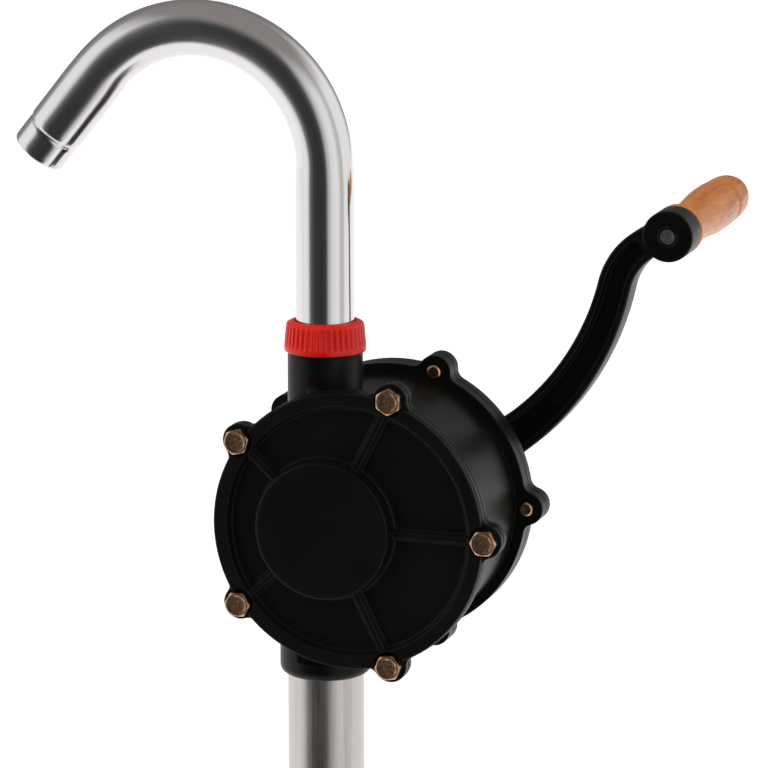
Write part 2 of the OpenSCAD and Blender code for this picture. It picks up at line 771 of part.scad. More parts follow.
module spout_tube() {
    bore = spout_r - spout_wall;
    groove_z = spout_tail - hose_end_len;
    end_r = spout_r - hose_end_step;
    color("silver") difference() {
        union() {
            spout_form(spout_r, spout_r - bend_draw, spout_foot_z, groove_z);
            translate([0, 0, bead_z]) cylinder(r = spout_r + bead_reach, h = bead_t);
            at_tail() cylinder(r = end_r, h = spout_tail);
        }
        spout_form(bore, bore - bend_draw, spout_foot_z - cut, spout_tail + cut);
        // rolled groove above the hose end
        at_tail() z_tube(spout_r + cut, end_r - groove_depth, groove_z, groove_z + groove_w);
    }
}

// ---- crank ----

// A left-hand bend from heading a to heading b, and a right-hand one
function bend_left(r, a, b) = r * [sin(b) - sin(a), cos(a) - cos(b)];
function bend_right(r, a, b) = r * [sin(a) - sin(b), cos(b) - cos(a)];
function along(a) = [cos(a), sin(a)];

// Straight lengths at both ends that close the line from the shaft to the handle
arm_gap = [arm_throw, 0] - bend_left(long_bend, sweep_in, sweep_peak)
          - bend_right(short_bend, sweep_peak, sweep_out);
arm_span = cos(sweep_in) * sin(sweep_out) - sin(sweep_in) * cos(sweep_out);
arm_lead = (arm_gap[0] * sin(sweep_out) - arm_gap[1] * cos(sweep_out)) / arm_span;
arm_tail = (cos(sweep_in) * arm_gap[1] - sin(sweep_in) * arm_gap[0]) / arm_span;

// Centre line as [x, y, heading] rows
arm_bend_1 = arm_lead * along(sweep_in);
arm_bend_2 = arm_bend_1 + bend_left(long_bend, sweep_in, sweep_peak);
arm_line = concat([[0, 0, sweep_in]],
    [for (i = [0:arm_steps]) let (h = sweep_in + (sweep_peak - sweep_in) * i / arm_steps,
        p = arm_bend_1 + bend_left(long_bend, sweep_in, h)) [p[0], p[1], h]],
    [for (i = [1:arm_steps]) let (h = sweep_peak + (sweep_out - sweep_peak) * i / arm_steps,
        p = arm_bend_2 + bend_right(short_bend, sweep_peak, h)) [p[0], p[1], h]],
    [[arm_throw, 0, sweep_out]]);

// Half width of the arm at a point of its centre line, less an inset
function arm_half(p, inset) =
    (arm_w_root + (arm_w_tip - arm_w_root) * p[0] / arm_throw) / 2 - inset;
function arm_side(p, side, inset) =
    [p[0] - side * arm_half(p, inset) * sin(p[2]), p[1] + side * arm_half(p, inset) * cos(p[2])];

// Outline of the arm between two rows of the centre line
module arm_outline(first, last, inset) {
    polygon(concat([for (i = [first:last]) arm_side(arm_line[i], 1, inset)],
                   [for (i = [last:-1:first]) arm_side(arm_line[i], -1, inset)]));
}

module crank_arm() {
    rows = len(arm_line) - 1;
    arm_rear_y = arm_front_y + arm_t;
    pocket_first = 5;
    pocket_last = rows - 6;
    thread_r = handle_bolt_d / 2;
    color([0.1, 0.1, 0.11]) at_rotor() difference() {
        rotate([0, -arm_angle, 0]) difference() {
            union() {
                y_plate(arm_front_y, arm_rear_y) arm_outline(0, rows, 0);
                y_bar(hub_d / 2, hub_front_y, hub_rear_y);
                translate([arm_throw, 0, 0]) y_bar(disc_d / 2, disc_front_y, disc_rear_y);
            }
            y_plate(arm_front_y - cut, arm_front_y + arm_web_depth)
                arm_outline(pocket_first, pocket_last, arm_edge_w);
            y_plate(arm_rear_y - arm_web_depth, arm_rear_y + cut)
                arm_outline(pocket_first, pocket_last, arm_edge_w);
            translate([arm_throw, 0, 0]) y_bar(thread_r, disc_front_y - cut, disc_rear_y + cut);
            translate([arm_throw, disc_front_y - touch, 0]) rotate([-90, 0, 0])
                cylinder(r1 = thread_r + 1, r2 = thread_r, h = 1);
        }
        y_bar(spindle_r, hub_front_y - cut, hub_rear_y + cut);
        rotate([0, -arm_angle, 0]) translate([spindle_r - 2.5, hub_front_y - cut, -2.5])
            cube([5, hub_rear_y - hub_front_y + 2 * cut, 5]);
    }
}

module crank_key() {
    color("silver") at_rotor() rotate([0, -arm_angle, 0])
        translate([spindle_r - 2.5 + touch, arm_front_y + 1 + touch, -2.5 + touch])
            cube([5 - 2 * touch, 14 - 2 * touch, 5 - 2 * touch]);
}

module crank_washer() {
    color("silver") at_rotor() y_ring(12, shaft_thread_r + 0.3, hub_rear_y, hub_rear_y + 2);
}

module crank_nut() {
    color("silver") at_rotor() difference() {
        y_hex(19, hub_rear_y + 2, hub_rear_y + 12);
        y_bar(shaft_thread_r, hub_rear_y, hub_rear_y + 14);
    }
}

module at_handle() {
    at_rotor() translate([arm_throw * cos(arm_angle), 0, arm_throw * sin(arm_angle)]) children();
}

module handle_bolt() {
    r = handle_bolt_d / 2;
    head_y = bolt_seat_y + 0.3;
    color("silver") at_handle() union() {
        y_bar(r, disc_front_y + 0.4, head_y + cut);
        y_bar(r + 2.6, head_y, head_y + 4.5);
    }
}

// Turned handle: radius at each share of its length, from the flange to the domed end
function grip_r(t) =
    let (belly = handle_d / 2, neck = handle_neck_d / 2, flange = disc_d / 2)
    t < 0.07 ? flange
    : t < 0.12 ? flange + (neck - flange) * (t - 0.07) / 0.05
    : t < 0.25 ? neck
    : t < 0.72 ? neck + (belly - neck) * (1 - cos(180 * (t - 0.25) / 0.47)) / 2
    : belly * sqrt(max(0.36, 1 - pow((t - 0.72) / 0.35, 2)));

module handle_grip() {
    stations = 40;
    color([0.85, 0.5, 0.2]) at_handle() difference() {
        translate([0, grip_y, 0]) rotate([-90, 0, 0]) rotate_extrude()
            polygon(concat([[0, 0]],
                [for (i = [0:stations]) [grip_r(i / stations), handle_len * i / stations]],
                [[0, handle_len]]));
        y_bar(handle_bolt_d / 2 + handle_clear, grip_y - cut, grip_end_y);
        y_bar(counterbore_r, bolt_seat_y, grip_end_y + cut);
    }
}

bung_adaptor();
bung_gasket();
clamp_screw();
upper_tube();
inlet_gasket();
pump_body();
front_cover();
rear_cover();
front_gasket();
rear_gasket();
front_bolts();
rear_bolts();
front_bush();
rear_bush();
shaft_seal();
gland_nut();
outlet_seal();
collar_nut();
spout_tube();
rotor();
rotor_shaft();
vane_1();
vane_2();
vane_3();
vane_4();
vane_springs();
crank_arm();
crank_key();
crank_washer();
crank_nut();
handle_bolt();
handle_grip();
middle_tube();
middle_tube_ring();
lower_tube();
lower_tube_ring();
foot_strainer();
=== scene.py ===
"""Looks of the hand-cranked drum barrel pump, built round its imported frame."""
import json
import math

import bpy
import bmesh
import numpy as np
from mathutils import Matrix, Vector


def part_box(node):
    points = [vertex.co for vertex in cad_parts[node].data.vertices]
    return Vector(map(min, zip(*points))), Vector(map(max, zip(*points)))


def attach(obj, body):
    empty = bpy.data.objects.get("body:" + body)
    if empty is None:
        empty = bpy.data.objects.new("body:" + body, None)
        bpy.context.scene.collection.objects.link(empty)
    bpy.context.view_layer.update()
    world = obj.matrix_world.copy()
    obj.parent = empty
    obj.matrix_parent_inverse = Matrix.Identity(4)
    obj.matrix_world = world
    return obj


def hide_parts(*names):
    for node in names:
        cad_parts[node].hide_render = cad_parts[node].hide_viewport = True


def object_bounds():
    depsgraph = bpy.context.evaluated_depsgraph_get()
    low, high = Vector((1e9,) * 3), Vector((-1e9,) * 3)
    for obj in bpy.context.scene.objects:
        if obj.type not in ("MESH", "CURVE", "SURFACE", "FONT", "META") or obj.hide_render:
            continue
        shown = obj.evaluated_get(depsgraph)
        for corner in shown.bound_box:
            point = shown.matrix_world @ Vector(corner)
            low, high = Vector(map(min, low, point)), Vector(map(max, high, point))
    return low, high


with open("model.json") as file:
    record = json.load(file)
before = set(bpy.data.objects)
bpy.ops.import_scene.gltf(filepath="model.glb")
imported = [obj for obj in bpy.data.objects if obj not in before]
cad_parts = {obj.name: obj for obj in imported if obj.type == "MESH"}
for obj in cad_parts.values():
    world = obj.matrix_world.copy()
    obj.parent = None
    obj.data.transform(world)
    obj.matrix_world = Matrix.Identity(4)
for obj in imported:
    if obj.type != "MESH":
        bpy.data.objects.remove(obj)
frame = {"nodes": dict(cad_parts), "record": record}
cad_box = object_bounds()
MM = 0.001
TAU = 2 * math.pi


# ---- places, read from the frame, in millimetres ----

def span(node):
    """Lowest and highest corner of a CAD node, in millimetres."""
    lo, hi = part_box(node)
    return np.array(lo) / MM, np.array(hi) / MM


def middle(node):
    """Centre of a CAD node, in millimetres."""
    lo, hi = span(node)
    return (lo + hi) / 2


COVER_RISE, LUG_STEP = 4.7, 2.8
BOSS_PROUD, HUB_PROUD = 1.2, 0.8
CHAMBER_X = 22.5
BOLT_CIRCLE = 77.5
LUG_TURN = math.radians(72)
RIM = 77.0
CRANK_THROW = 217.0
CRANK_ANGLE = math.radians(43.4)

rotor_x, _, pump_z = middle("front_bush")
rim_front = span("front_cover")[0][1] + COVER_RISE
lug_front = rim_front + LUG_STEP
joint_front = span("front_gasket")[0][1]
arm_face, arm_back = span("crank_arm")[0][1] + BOSS_PROUD, span("crank_arm")[1][1] - HUB_PROUD
handle_at = np.array([rotor_x + CRANK_THROW * math.cos(CRANK_ANGLE), 0,
                      pump_z + CRANK_THROW * math.sin(CRANK_ANGLE)])


# ---- mesh helpers ----

WELD = 2e-7
LATHE_STEPS = 96


def wrap_grid(rows, cols, close_rows):
    """Quads of a grid of rows x cols points. Each row closes on itself, and the rows may close too."""
    i, j = np.meshgrid(np.arange(rows if close_rows else rows - 1), np.arange(cols), indexing="ij")
    i2, j2 = (i + 1) % rows, (j + 1) % cols
    quads = np.stack([i * cols + j, i2 * cols + j, i2 * cols + j2, i * cols + j2], axis=-1)
    return quads.reshape(-1, 4), i.reshape(-1), j.reshape(-1)


def grid_piece(name, points, close_rows=False):
    """A surface from a grid of points, in millimetres. Its UV runs along the columns and the rows."""
    rows, cols, _ = points.shape
    quads, i, j = wrap_grid(rows, cols, close_rows)
    mesh = bpy.data.meshes.new(name)
    mesh.vertices.add(rows * cols)
    mesh.vertices.foreach_set("co", (points.reshape(-1, 3) * MM).ravel())
    mesh.loops.add(quads.size)
    mesh.loops.foreach_set("vertex_index", quads.ravel())
    mesh.polygons.add(len(quads))
    mesh.polygons.foreach_set("loop_start", np.arange(0, quads.size, 4))
    mesh.update(calc_edges=True)
    corner_i = np.stack([i, i + 1, i + 1, i], axis=-1)
    corner_j = np.stack([j, j, j + 1, j + 1], axis=-1)
    uv = np.stack([corner_j / cols, corner_i / (rows - 1)], axis=-1)
    layer = mesh.uv_layers.new(name="UVMap")
    layer.data.foreach_set("uv", uv.reshape(-1))
    mesh.polygons.foreach_set("use_smooth", np.ones(len(quads), bool))
    obj = bpy.data.objects.new(name, mesh)
    bpy.context.scene.collection.objects.link(obj)
    tidy_mesh(obj)
    return obj


def tidy_mesh(obj):
    """Joins coincident points and turns every face outwards."""
    bm = bmesh.new()
    bm.from_mesh(obj.data)
    bmesh.ops.remove_doubles(bm, verts=bm.verts, dist=WELD)
    bmesh.ops.dissolve_degenerate(bm, edges=bm.edges, dist=WELD)
    bmesh.ops.recalc_face_normals(bm, faces=bm.faces)
    bm.to_mesh(obj.data)
    bm.free()
    obj.data.update()


def select(objects):
    """Selects just these, with the first one active."""
    for o in bpy.context.selected_objects:
        o.select_set(False)
    for o in objects:
        o.select_set(True)
    bpy.context.view_layer.objects.active = objects[0]


def joined(name, pieces):
    """One object from several."""
    select(pieces)
    bpy.ops.object.join()
    pieces[0].name = name
    pieces[0].data.name = name
    return pieces[0]


def sharp(obj, degrees):
    """Keeps edges crisp that turn by more than the angle."""
    select([obj])
    bpy.ops.object.shade_smooth_by_angle(angle=math.radians(degrees), keep_sharp_edges=False)
    obj.select_set(False)


def circle(steps):
    """Cosine and sine of evenly spaced angles round a full turn."""
    a = np.arange(steps) * TAU / steps
    return np.cos(a), np.sin(a)


def turned_y(name, profile, centre, close_rows=False):
    """A lathe turned about Y: rows of (y, radius) from outside to the end, each spun into a circle."""
    y, r = np.asarray(profile, float).T
    c, s = circle(LATHE_STEPS)
    pts = np.empty((len(y), LATHE_STEPS, 3))
    pts[..., 0] = centre[0] + r[:, None] * c
    pts[..., 1] = y[:, None]
    pts[..., 2] = centre[2] + r[:, None] * s
    return grid_piece(name, pts, close_rows)


def smooth(t):
    """Smooth step: 0 up to t = 0, 1 from t = 1, and a cubic between."""
    t = np.clip(t, 0, 1)
    return t * t * (3 - 2 * t)


def soft_min(a, b, k):
    """The lower of two heights, with a fillet of about k where they meet."""
    h = np.clip(0.5 + 0.5 * (b - a) / k, 0, 1)
    return b + (a - b) * h - k * h * (1 - h)


def rounded(points, radius):
    """A polyline whose inner corners are rounded by arcs of about the radius."""
    p = np.asarray(points, float)
    out = [p[0]]
    for a, b, c in zip(p[:-2], p[1:-1], p[2:]):
        u, v = a - b, c - b
        r = min(radius, 0.45 * np.linalg.norm(u), 0.45 * np.linalg.norm(v))
        s, e = b + u / np.linalg.norm(u) * r, b + v / np.linalg.norm(v) * r
        for t in np.linspace(0, 1, 5):
            out.append((1 - t) ** 2 * s + 2 * t * (1 - t) * b + t * t * e)
    out.append(p[-1])
    return np.array(out)


# ---- spout ----

SPOUT_R, SPOUT_WALL = 16.0, 1.5
BEND_R, BEND = 73.0, math.radians(141)
SPOUT_TAIL, HOSE_END = 58.5, 16.5
BEND_RISE = 193.0
BEAD_Z = 296.22
BEND_FLATTEN, BEND_WIDEN, BEND_LEAD = 0.7, 0.1, 12.0
TIP_SMALLER = 0.4
spout_foot = span("spout_tube")[0][2]
spout_rise = pump_z + BEND_RISE - spout_foot
spout_arc = BEND_R * BEND


def spout_path(s):
    """Point and outward normal at distance s from the foot: straight up, round the bend, straight on."""
    turn = np.clip((s - spout_rise) / BEND_R, 0, BEND)
    x = -BEND_R + BEND_R * np.cos(turn)
    z = np.minimum(s, spout_rise) + spout_foot + BEND_R * np.sin(turn)
    past = np.clip(s - spout_rise - spout_arc, 0, None)
    tangent = np.stack([-np.sin(turn), 0 * s, np.cos(turn)], -1)
    normal = np.stack([np.cos(turn), 0 * s, np.sin(turn)], -1)
    return np.stack([x, 0 * s, z], -1) + past[:, None] * tangent, normal


def make_spout():
    """Tube swept along spout_path: a ring of radius SPOUT_R plus a growth that steps at the bead, the
    groove and the rolled lip, a little flatter within the bend; the bore is the same sweep run back."""
    total = spout_rise + spout_arc + SPOUT_TAIL
    tip = total - HOSE_END
    bead = BEAD_Z - spout_foot
    bead_steps = [(-0.4, 0.0), (0, 0.6), (0.2, 2.2), (0.7, 2.4), (1.2, 2.2), (1.4, 0.6), (1.8, 0.0)]
    groove_steps = [(-0.7, -0.08), (-0.2, -0.55), (0.3, -0.95), (0.8, -1.0), (1.3, -0.85), (1.9, -0.55),
                    (2.6, -0.42), (4, -TIP_SMALLER)]
    lip_steps = [(1.0, -0.46), (0.5, -0.62), (0.15, -0.88), (0, -1.15), (0.15, -1.38), (0.5, -SPOUT_WALL)]
    rows = [(0, 0.0)] + [(bead + s, g) for s, g in bead_steps]
    rows += [(s, 0.0) for s in np.linspace(bead + 4, tip - 1.2, 110)]
    rows += [(tip + s, g) for s, g in groove_steps]
    rows += [(s, -TIP_SMALLER) for s in np.linspace(tip + 5, total - 1.6, 5)]
    rows += [(total - s, g) for s, g in lip_steps]
    rows += [(s, -SPOUT_WALL) for s in np.linspace(total - 3, 0, 80)]
    s, grow = np.array(rows).T
    point, normal = spout_path(s)
    entering = smooth((s - spout_rise + BEND_LEAD) / (2 * BEND_LEAD))
    leaving = smooth((spout_rise + spout_arc + BEND_LEAD - s) / (2 * BEND_LEAD))
    in_bend = entering * leaving
    c, sn = circle(LATHE_STEPS)
    flat = (SPOUT_R + grow - BEND_FLATTEN * in_bend)[:, None, None]
    wide = (SPOUT_R + grow + BEND_WIDEN * in_bend)[:, None, None]
    side = np.array([0.0, 1.0, 0.0])
    pts = (point[:, None, :] + flat * c[None, :, None] * normal[:, None, :]
           + wide * sn[None, :, None] * side)
    return grid_piece("gooseneck_spout", pts, close_rows=True)


# ---- collar nut ----

FLUTES, FLUTE_STEPS, FLUTE_DEPTH = 40, 14, 0.75
FLUTED_R, FLUTED_FROM = 20.9, 2.0


def make_collar():
    """Fluted nut: a closed profile turned about Z, whose outer wall is pressed in between the ribs by a
    raised cosine of the angle that fades out towards the hem and the shoulder."""
    foot = span("collar_nut")[0][2]
    profile = [(19.45, 0.5), (19.7, 0.12), (20.2, 0.0), (21.6, 0.0), (22.1, 0.15), (22.38, 0.55),
               (22.4, 1.1), (22.4, 2.2), (22.36, 2.7), (22.3, 3.2)]
    profile += [(22.3 - 0.95 * t, 3.2 + 10.6 * t) for t in np.linspace(0.06, 1, 16)]
    profile += [(21.25, 14.3), (21.1, 14.8), (20.8, 15.25), (20.3, 15.6), (19.2, 16.1), (18.2, 16.6),
                (17.6, 16.88), (17.2, 16.9), (16.85, 16.6), (16.6, 16.0), (16.42, 15.4), (16.36, 14.9),
                (16.4, 14.74), (17.5, 14.72), (19.2, 14.72), (19.4, 14.5), (19.4, 8.0), (19.4, 1.2)]
    radius, z = np.array(profile).T
    steps = FLUTES * FLUTE_STEPS
    a = np.arange(steps) * TAU / steps
    groove = (0.5 - 0.5 * np.cos(a * FLUTES)) ** 1.6
    fade = smooth((z - 2.6) / 1.6) * smooth((15.2 - z) / 1.3) * (radius > FLUTED_R) * (z > FLUTED_FROM)
    r = radius[:, None] - FLUTE_DEPTH * fade[:, None] * groove
    pts = np.stack([r * np.cos(a), r * np.sin(a), np.repeat(z[:, None] + foot, steps, 1)], -1)
    return grid_piece("collar_nut_body", pts, close_rows=True)


# ---- handle ----

def make_grip():
    """Turned handle: distance behind the arm's disc against radius, spun about the handle's own axis:
    flange, neck, a belly that swells and falls, two cut grooves, a rounded end and the bore."""
    profile = [(20.7, 4.12), (20.6, 5.0), (20.6, 12.6), (20.75, 13.5), (21.2, 14.05), (22.0, 14.3),
               (24.5, 14.35), (26.6, 14.2), (27.6, 13.8), (28.3, 13.1), (29.2, 12.2), (30.4, 11.6),
               (32.5, 11.3), (36, 11.25), (42, 11.35), (50, 11.65), (58, 12.1), (66, 12.65), (74, 13.2),
               (82, 13.65), (90, 13.93), (97, 14.0), (104, 13.93), (107.5, 13.85), (109.6, 13.72),
               (110.2, 13.42), (110.6, 13.02), (111.1, 12.9), (111.6, 13.05), (112.0, 13.42),
               (112.5, 13.6), (113.5, 13.58), (114.1, 13.3), (114.5, 12.95), (115.0, 12.82),
               (115.5, 12.98), (116.0, 13.3), (116.8, 13.48), (121.5, 13.45), (127, 13.35), (131, 13.2),
               (135, 12.8), (138.5, 12.2), (141.5, 11.4), (144.0, 10.4), (146.0, 9.3), (147.2, 8.4),
               (147.6, 7.9), (147.5, 7.65), (147.0, 7.6), (137.0, 7.6), (136.0, 7.4), (135.9, 6.8),
               (135.9, 4.3), (135.7, 4.12), (80, 4.12)]
    return turned_y("wooden_grip", [(arm_face + y, r) for y, r in profile], handle_at, close_rows=True)


# ---- crank arm ----

SWEEP_IN, SWEEP_PEAK, SWEEP_OUT = np.radians([-26.6, 33.9, -30.7])
LONG_BEND, SHORT_BEND = 0.706 * CRANK_THROW, 0.178 * CRANK_THROW
ARM_STEPS = 230
ARM_W_ROOT, ARM_W_TIP = 25.7, 17.2
ARM_BEHIND_FACE, ARM_THICK = 1.6, 17.0
ARM_ROUND, ARM_EDGE, WEB_DEEP = 1.6, 3.7, 4.6
WEB_FROM_SHAFT, WEB_FROM_HANDLE = 24.0, 17.0
EJECTOR_AT, EJECTOR_R, EJECTOR_HIGH = (0.47, 0.83), 3.6, 0.55


def arm_centreline():
    """S-shaped line from the shaft to the handle: a straight lead, an upward arc, a sharper arc back and
    a straight tail, with lead and tail solved so that it ends one throw away. Returns the distance along
    it, x, y and heading."""
    def arc_step(radius, a, b):
        return radius * np.array([math.sin(a) - math.sin(b), math.cos(b) - math.cos(a)])

    gap = (np.array([CRANK_THROW, 0]) - arc_step(LONG_BEND, SWEEP_PEAK, SWEEP_IN)
           - arc_step(SHORT_BEND, SWEEP_PEAK, SWEEP_OUT))
    heading = np.array([[math.cos(SWEEP_IN), math.cos(SWEEP_OUT)], [math.sin(SWEEP_IN), math.sin(SWEEP_OUT)]])
    lead, tail = np.linalg.solve(heading, gap)
    lengths = [max(lead, 0), LONG_BEND * (SWEEP_PEAK - SWEEP_IN), SHORT_BEND * (SWEEP_PEAK - SWEEP_OUT),
               max(tail, 0)]
    ends = np.concatenate([[0], np.cumsum(lengths)])
    s = np.linspace(0, ends[-1], ARM_STEPS)
    h = np.interp(s, ends, [SWEEP_IN, SWEEP_IN, SWEEP_PEAK, SWEEP_OUT, SWEEP_OUT])
    step = np.diff(s, prepend=0)
    mid = (h + np.concatenate([[h[0]], h[:-1]])) / 2
    x, y = np.cumsum(np.cos(mid) * step), np.cumsum(np.sin(mid) * step)
    share = s / s[-1]
    return s, x + (CRANK_THROW - x[-1]) * share, y - y[-1] * share, h


def make_arm_bar():
    """Rounded bar along the arm's centreline: both faces fall to a web between raised edges, by the
    distance to the nearest edge or end, and small round marks stand on the web."""
    s, x, y, h = arm_centreline()
    half = (ARM_W_ROOT + (ARM_W_TIP - ARM_W_ROOT) * x / CRANK_THROW) / 2
    rim = np.cos(np.linspace(0, 0.5, 7) * math.pi) * 0.16 + 0.84
    across = np.concatenate([-rim, np.linspace(-0.8, 0.8, 33), rim[::-1]])
    w = across[None, :] * half[:, None]
    edge = half[:, None] - np.abs(w)
    short = np.clip(ARM_ROUND - edge, 0, ARM_ROUND)
    drop = ARM_ROUND - np.sqrt(np.clip(ARM_ROUND ** 2 - short ** 2, 0, None))
    from_ends = np.minimum(s - WEB_FROM_SHAFT, s[-1] - WEB_FROM_HANDLE - s)[:, None]
    into = np.minimum(edge - ARM_EDGE, from_ends)
    web = WEB_DEEP * smooth((into + 0.3) / 1.5)
    for at in EJECTOR_AT:
        ring = np.hypot(s[:, None] - at * s[-1], w)
        web = web - EJECTOR_HIGH * smooth((EJECTOR_R - ring) / 0.7) * (into > 0)
    front = arm_face + ARM_BEHIND_FACE + drop + web
    back = arm_face + ARM_BEHIND_FACE + ARM_THICK - drop - web
    px = x[:, None] - w * np.sin(h)[:, None]
    pz = y[:, None] + w * np.cos(h)[:, None]
    pts = np.concatenate([np.stack([px, front, pz], -1), np.stack([px, back, pz], -1)[:, ::-1]], axis=1)
    caps = [pts[k:k + 1].mean(1, keepdims=True) + 0 * pts[:1] for k in (0, len(pts) - 1)]
    pts = np.concatenate([caps[0], pts, caps[1]], axis=0)
    ca, sa = math.cos(CRANK_ANGLE), math.sin(CRANK_ANGLE)
    px, pz = pts[..., 0].copy(), pts[..., 2].copy()
    pts[..., 0] = rotor_x + px * ca - pz * sa
    pts[..., 2] = pump_z + px * sa + pz * ca
    return grid_piece("crank_bar", pts)


def make_crank():
    """Cranked arm: the hollowed bar, with a turned disc at the handle and a turned hub at the shaft,
    each a closed profile with rounded corners."""
    f, b = arm_face, arm_back
    disc = rounded([(f + 0.9, 4.02), (f + 0.9, 4.9), (f, 5.6), (f, 14.3), (f + 20, 14.3),
                    (f + 20, 4.02)], 1.3)
    hub = rounded([(f - 1.2, 8.02), (f - 1.2, 18.6), (f + 4, 19.0), (b, 19.0), (b + 0.8, 17.5),
                   (b + 0.8, 8.02)], 1.4)
    shaft_at = np.array([rotor_x, 0, pump_z])
    parts = [make_arm_bar()]
    for name, profile, centre in (("disc", disc, handle_at), ("hub", hub, shaft_at)):
        parts.append(turned_y(name, np.vstack([profile, profile[:1]]), centre))
    return joined("crank_arm_casting", parts)


# ---- flange outline and front cover ----

LUG_R, LUG_BLEND = 9.2, 6.0
FLOOR_DEEP, BOSS_HIGH = 5.0, 9.7
CASE_R, RECESS_R = 69.0, 66.0
BRIM_INSET = 0.6
RIB_HIGH, RIB_HALF, RIB_SLOPE, RIB_FILLET = 3.5, 1.1, 2.6, 0.8
RIB_FROM, RIB_TO, RIB_MEETS = 30.0, 70.0, 68.7
BOSS_RINGS = [0.0, 8, 16, 24, 30, 34, 36, 36.8, 37.3, 37.6, 37.8, 37.9, 38.0, 38.1, 38.2, 38.35, 38.5, 38.7,
              39.0, 39.5, 40.2, 41.0]
RIM_RINGS = [66.7, 67.3, 67.8, 68.1, 68.35, 68.6, 68.8, 69.0, 69.25, 69.6, 70.2, 70.8, 71.4, 72.0, 72.6, 73.2,
             73.8, 74.4, 75.0, 75.5, 76.0, 76.25, 76.45, 76.58, 76.66, 76.75]
SEAT_R, SEAT_SOFT, SEAT_DEEP, SEAT_FROM = 8.5, 0.5, 0.2, 69.3


def polar(r, a):
    """Points at the radii and angles, as x and z."""
    return np.stack([r * np.cos(a), r * np.sin(a)], -1)


def flange_outline():
    """Angles and radii of a round flange with five lugs, each blended into the rim by two arcs."""
    far, near = RIM + LUG_BLEND, LUG_R + LUG_BLEND
    at = math.acos((far ** 2 + BOLT_CIRCLE ** 2 - near ** 2) / (2 * far * BOLT_CIRCLE))
    bx, bz = far * math.cos(at), far * math.sin(at)
    turn = math.atan2(bz, bx - BOLT_CIRCLE)
    tip = np.linspace(0, turn, 16)
    arc = np.linspace(turn + math.pi, at + math.pi, 12)[1:]
    x = np.concatenate([BOLT_CIRCLE + LUG_R * np.cos(tip), bx + LUG_BLEND * np.cos(arc)])
    z = np.concatenate([LUG_R * np.sin(tip), bz + LUG_BLEND * np.sin(arc)])
    rest = np.linspace(at, LUG_TURN / 2, 22)[1:]
    a = np.concatenate([np.arctan2(z, x), rest])
    r = np.concatenate([np.hypot(x, z), np.full(len(rest), RIM)])
    a = np.concatenate([-a[::-1][1:-1], a])
    r = np.concatenate([r[::-1][1:-1], r])
    return np.concatenate([a + LUG_TURN * k for k in range(5)]), np.tile(r, 5)


def rib_directions(off):
    """For each lug: the rib's direction from the boss, and where on the case that rib ends."""
    lug = LUG_TURN * np.arange(5)
    inner = np.unwrap(np.arctan2(BOLT_CIRCLE * np.sin(lug), BOLT_CIRCLE * np.cos(lug) - off))
    ox, oz = np.cos(inner), np.sin(inner)
    reach = -off * ox + np.sqrt((off * ox) ** 2 - off ** 2 + RIB_MEETS ** 2)
    return inner, np.unwrap(np.arctan2(oz * reach, off + ox * reach))


def cover_rings(a, reach, inner, off):
    """Plan of the cover: rings round the boss's own centre, a straight run to the case's rings, then out
    to the flange's edge. Each ring holds one point for each angle."""
    boss = [np.array([off, 0]) + polar(r, inner) for r in BOSS_RINGS]
    between = [boss[-1] * (1 - t) + polar(RECESS_R, a) * t for t in np.linspace(0, 1, 30)[1:]]
    case = [polar(r, a) for r in RIM_RINGS]
    edge, last = polar(reach, a), case[-1]
    inset = BRIM_INSET / np.maximum(np.linalg.norm(edge - last, axis=-1, keepdims=True), BRIM_INSET)
    stop = edge - (edge - last) * np.minimum(inset, 1)
    brim = [last * (1 - t) + stop * t for t in (0.2, 0.4, 0.6, 0.8, 1.0)]
    return np.array(boss + between + case + brim), edge


def cover_relief(x, z, off, ribs_at):
    """Height of the cover's face at each point: the nearest of floor, boss, rim and ribs, with the ribs
    blended into the rest by a fillet and a flat seat sunk at each bolt."""
    floor = rim_front + FLOOR_DEEP
    boss_y = floor - BOSS_HIGH
    r_boss, r_case = np.hypot(x - off, z), np.hypot(x, z)
    boss = np.interp(r_boss, [0, 36.4, 37.2, 37.7, 37.95, 38.15, 38.7, 39.2, 40.0, 41.2, 200],
                     [boss_y, boss_y, boss_y + 0.15, boss_y + 0.5, boss_y + 1.1, boss_y + 2.4, floor - 1.5,
                      floor - 0.6, floor - 0.15, floor, floor])
    rim = np.interp(r_case, [0, 66.0, 67.2, 67.9, 68.4, 68.85, 69.1, 69.6, 76.0, 76.4, 76.58, 76.68, 200],
                    [floor, floor, floor - 0.25, floor - 0.9, floor - 2.4, rim_front + 0.6, rim_front + 0.2,
                     rim_front, rim_front, rim_front + 0.2, rim_front + 0.7, lug_front, lug_front])
    depth = np.minimum(boss, rim)
    ribs = np.full_like(depth, floor)
    for ux, uz in polar(1.0, ribs_at):
        along = (x - off) * ux + z * uz
        beside = np.abs(z * ux - (x - off) * uz)
        here = (along > RIB_FROM) * (r_case < RIB_TO)
        ribs = np.minimum(ribs, floor - RIB_HIGH * (1 - smooth((beside - RIB_HALF) / RIB_SLOPE)) * here)
    depth = np.where(r_case < CASE_R, soft_min(depth, ribs, RIB_FILLET), depth)
    for cx, cz in polar(BOLT_CIRCLE, LUG_TURN * np.arange(5)):
        seat = smooth((SEAT_R - np.hypot(x - cx, z - cz)) / SEAT_SOFT)
        depth = depth + (lug_front + SEAT_DEEP - depth) * seat * (r_case > SEAT_FROM)
    return depth


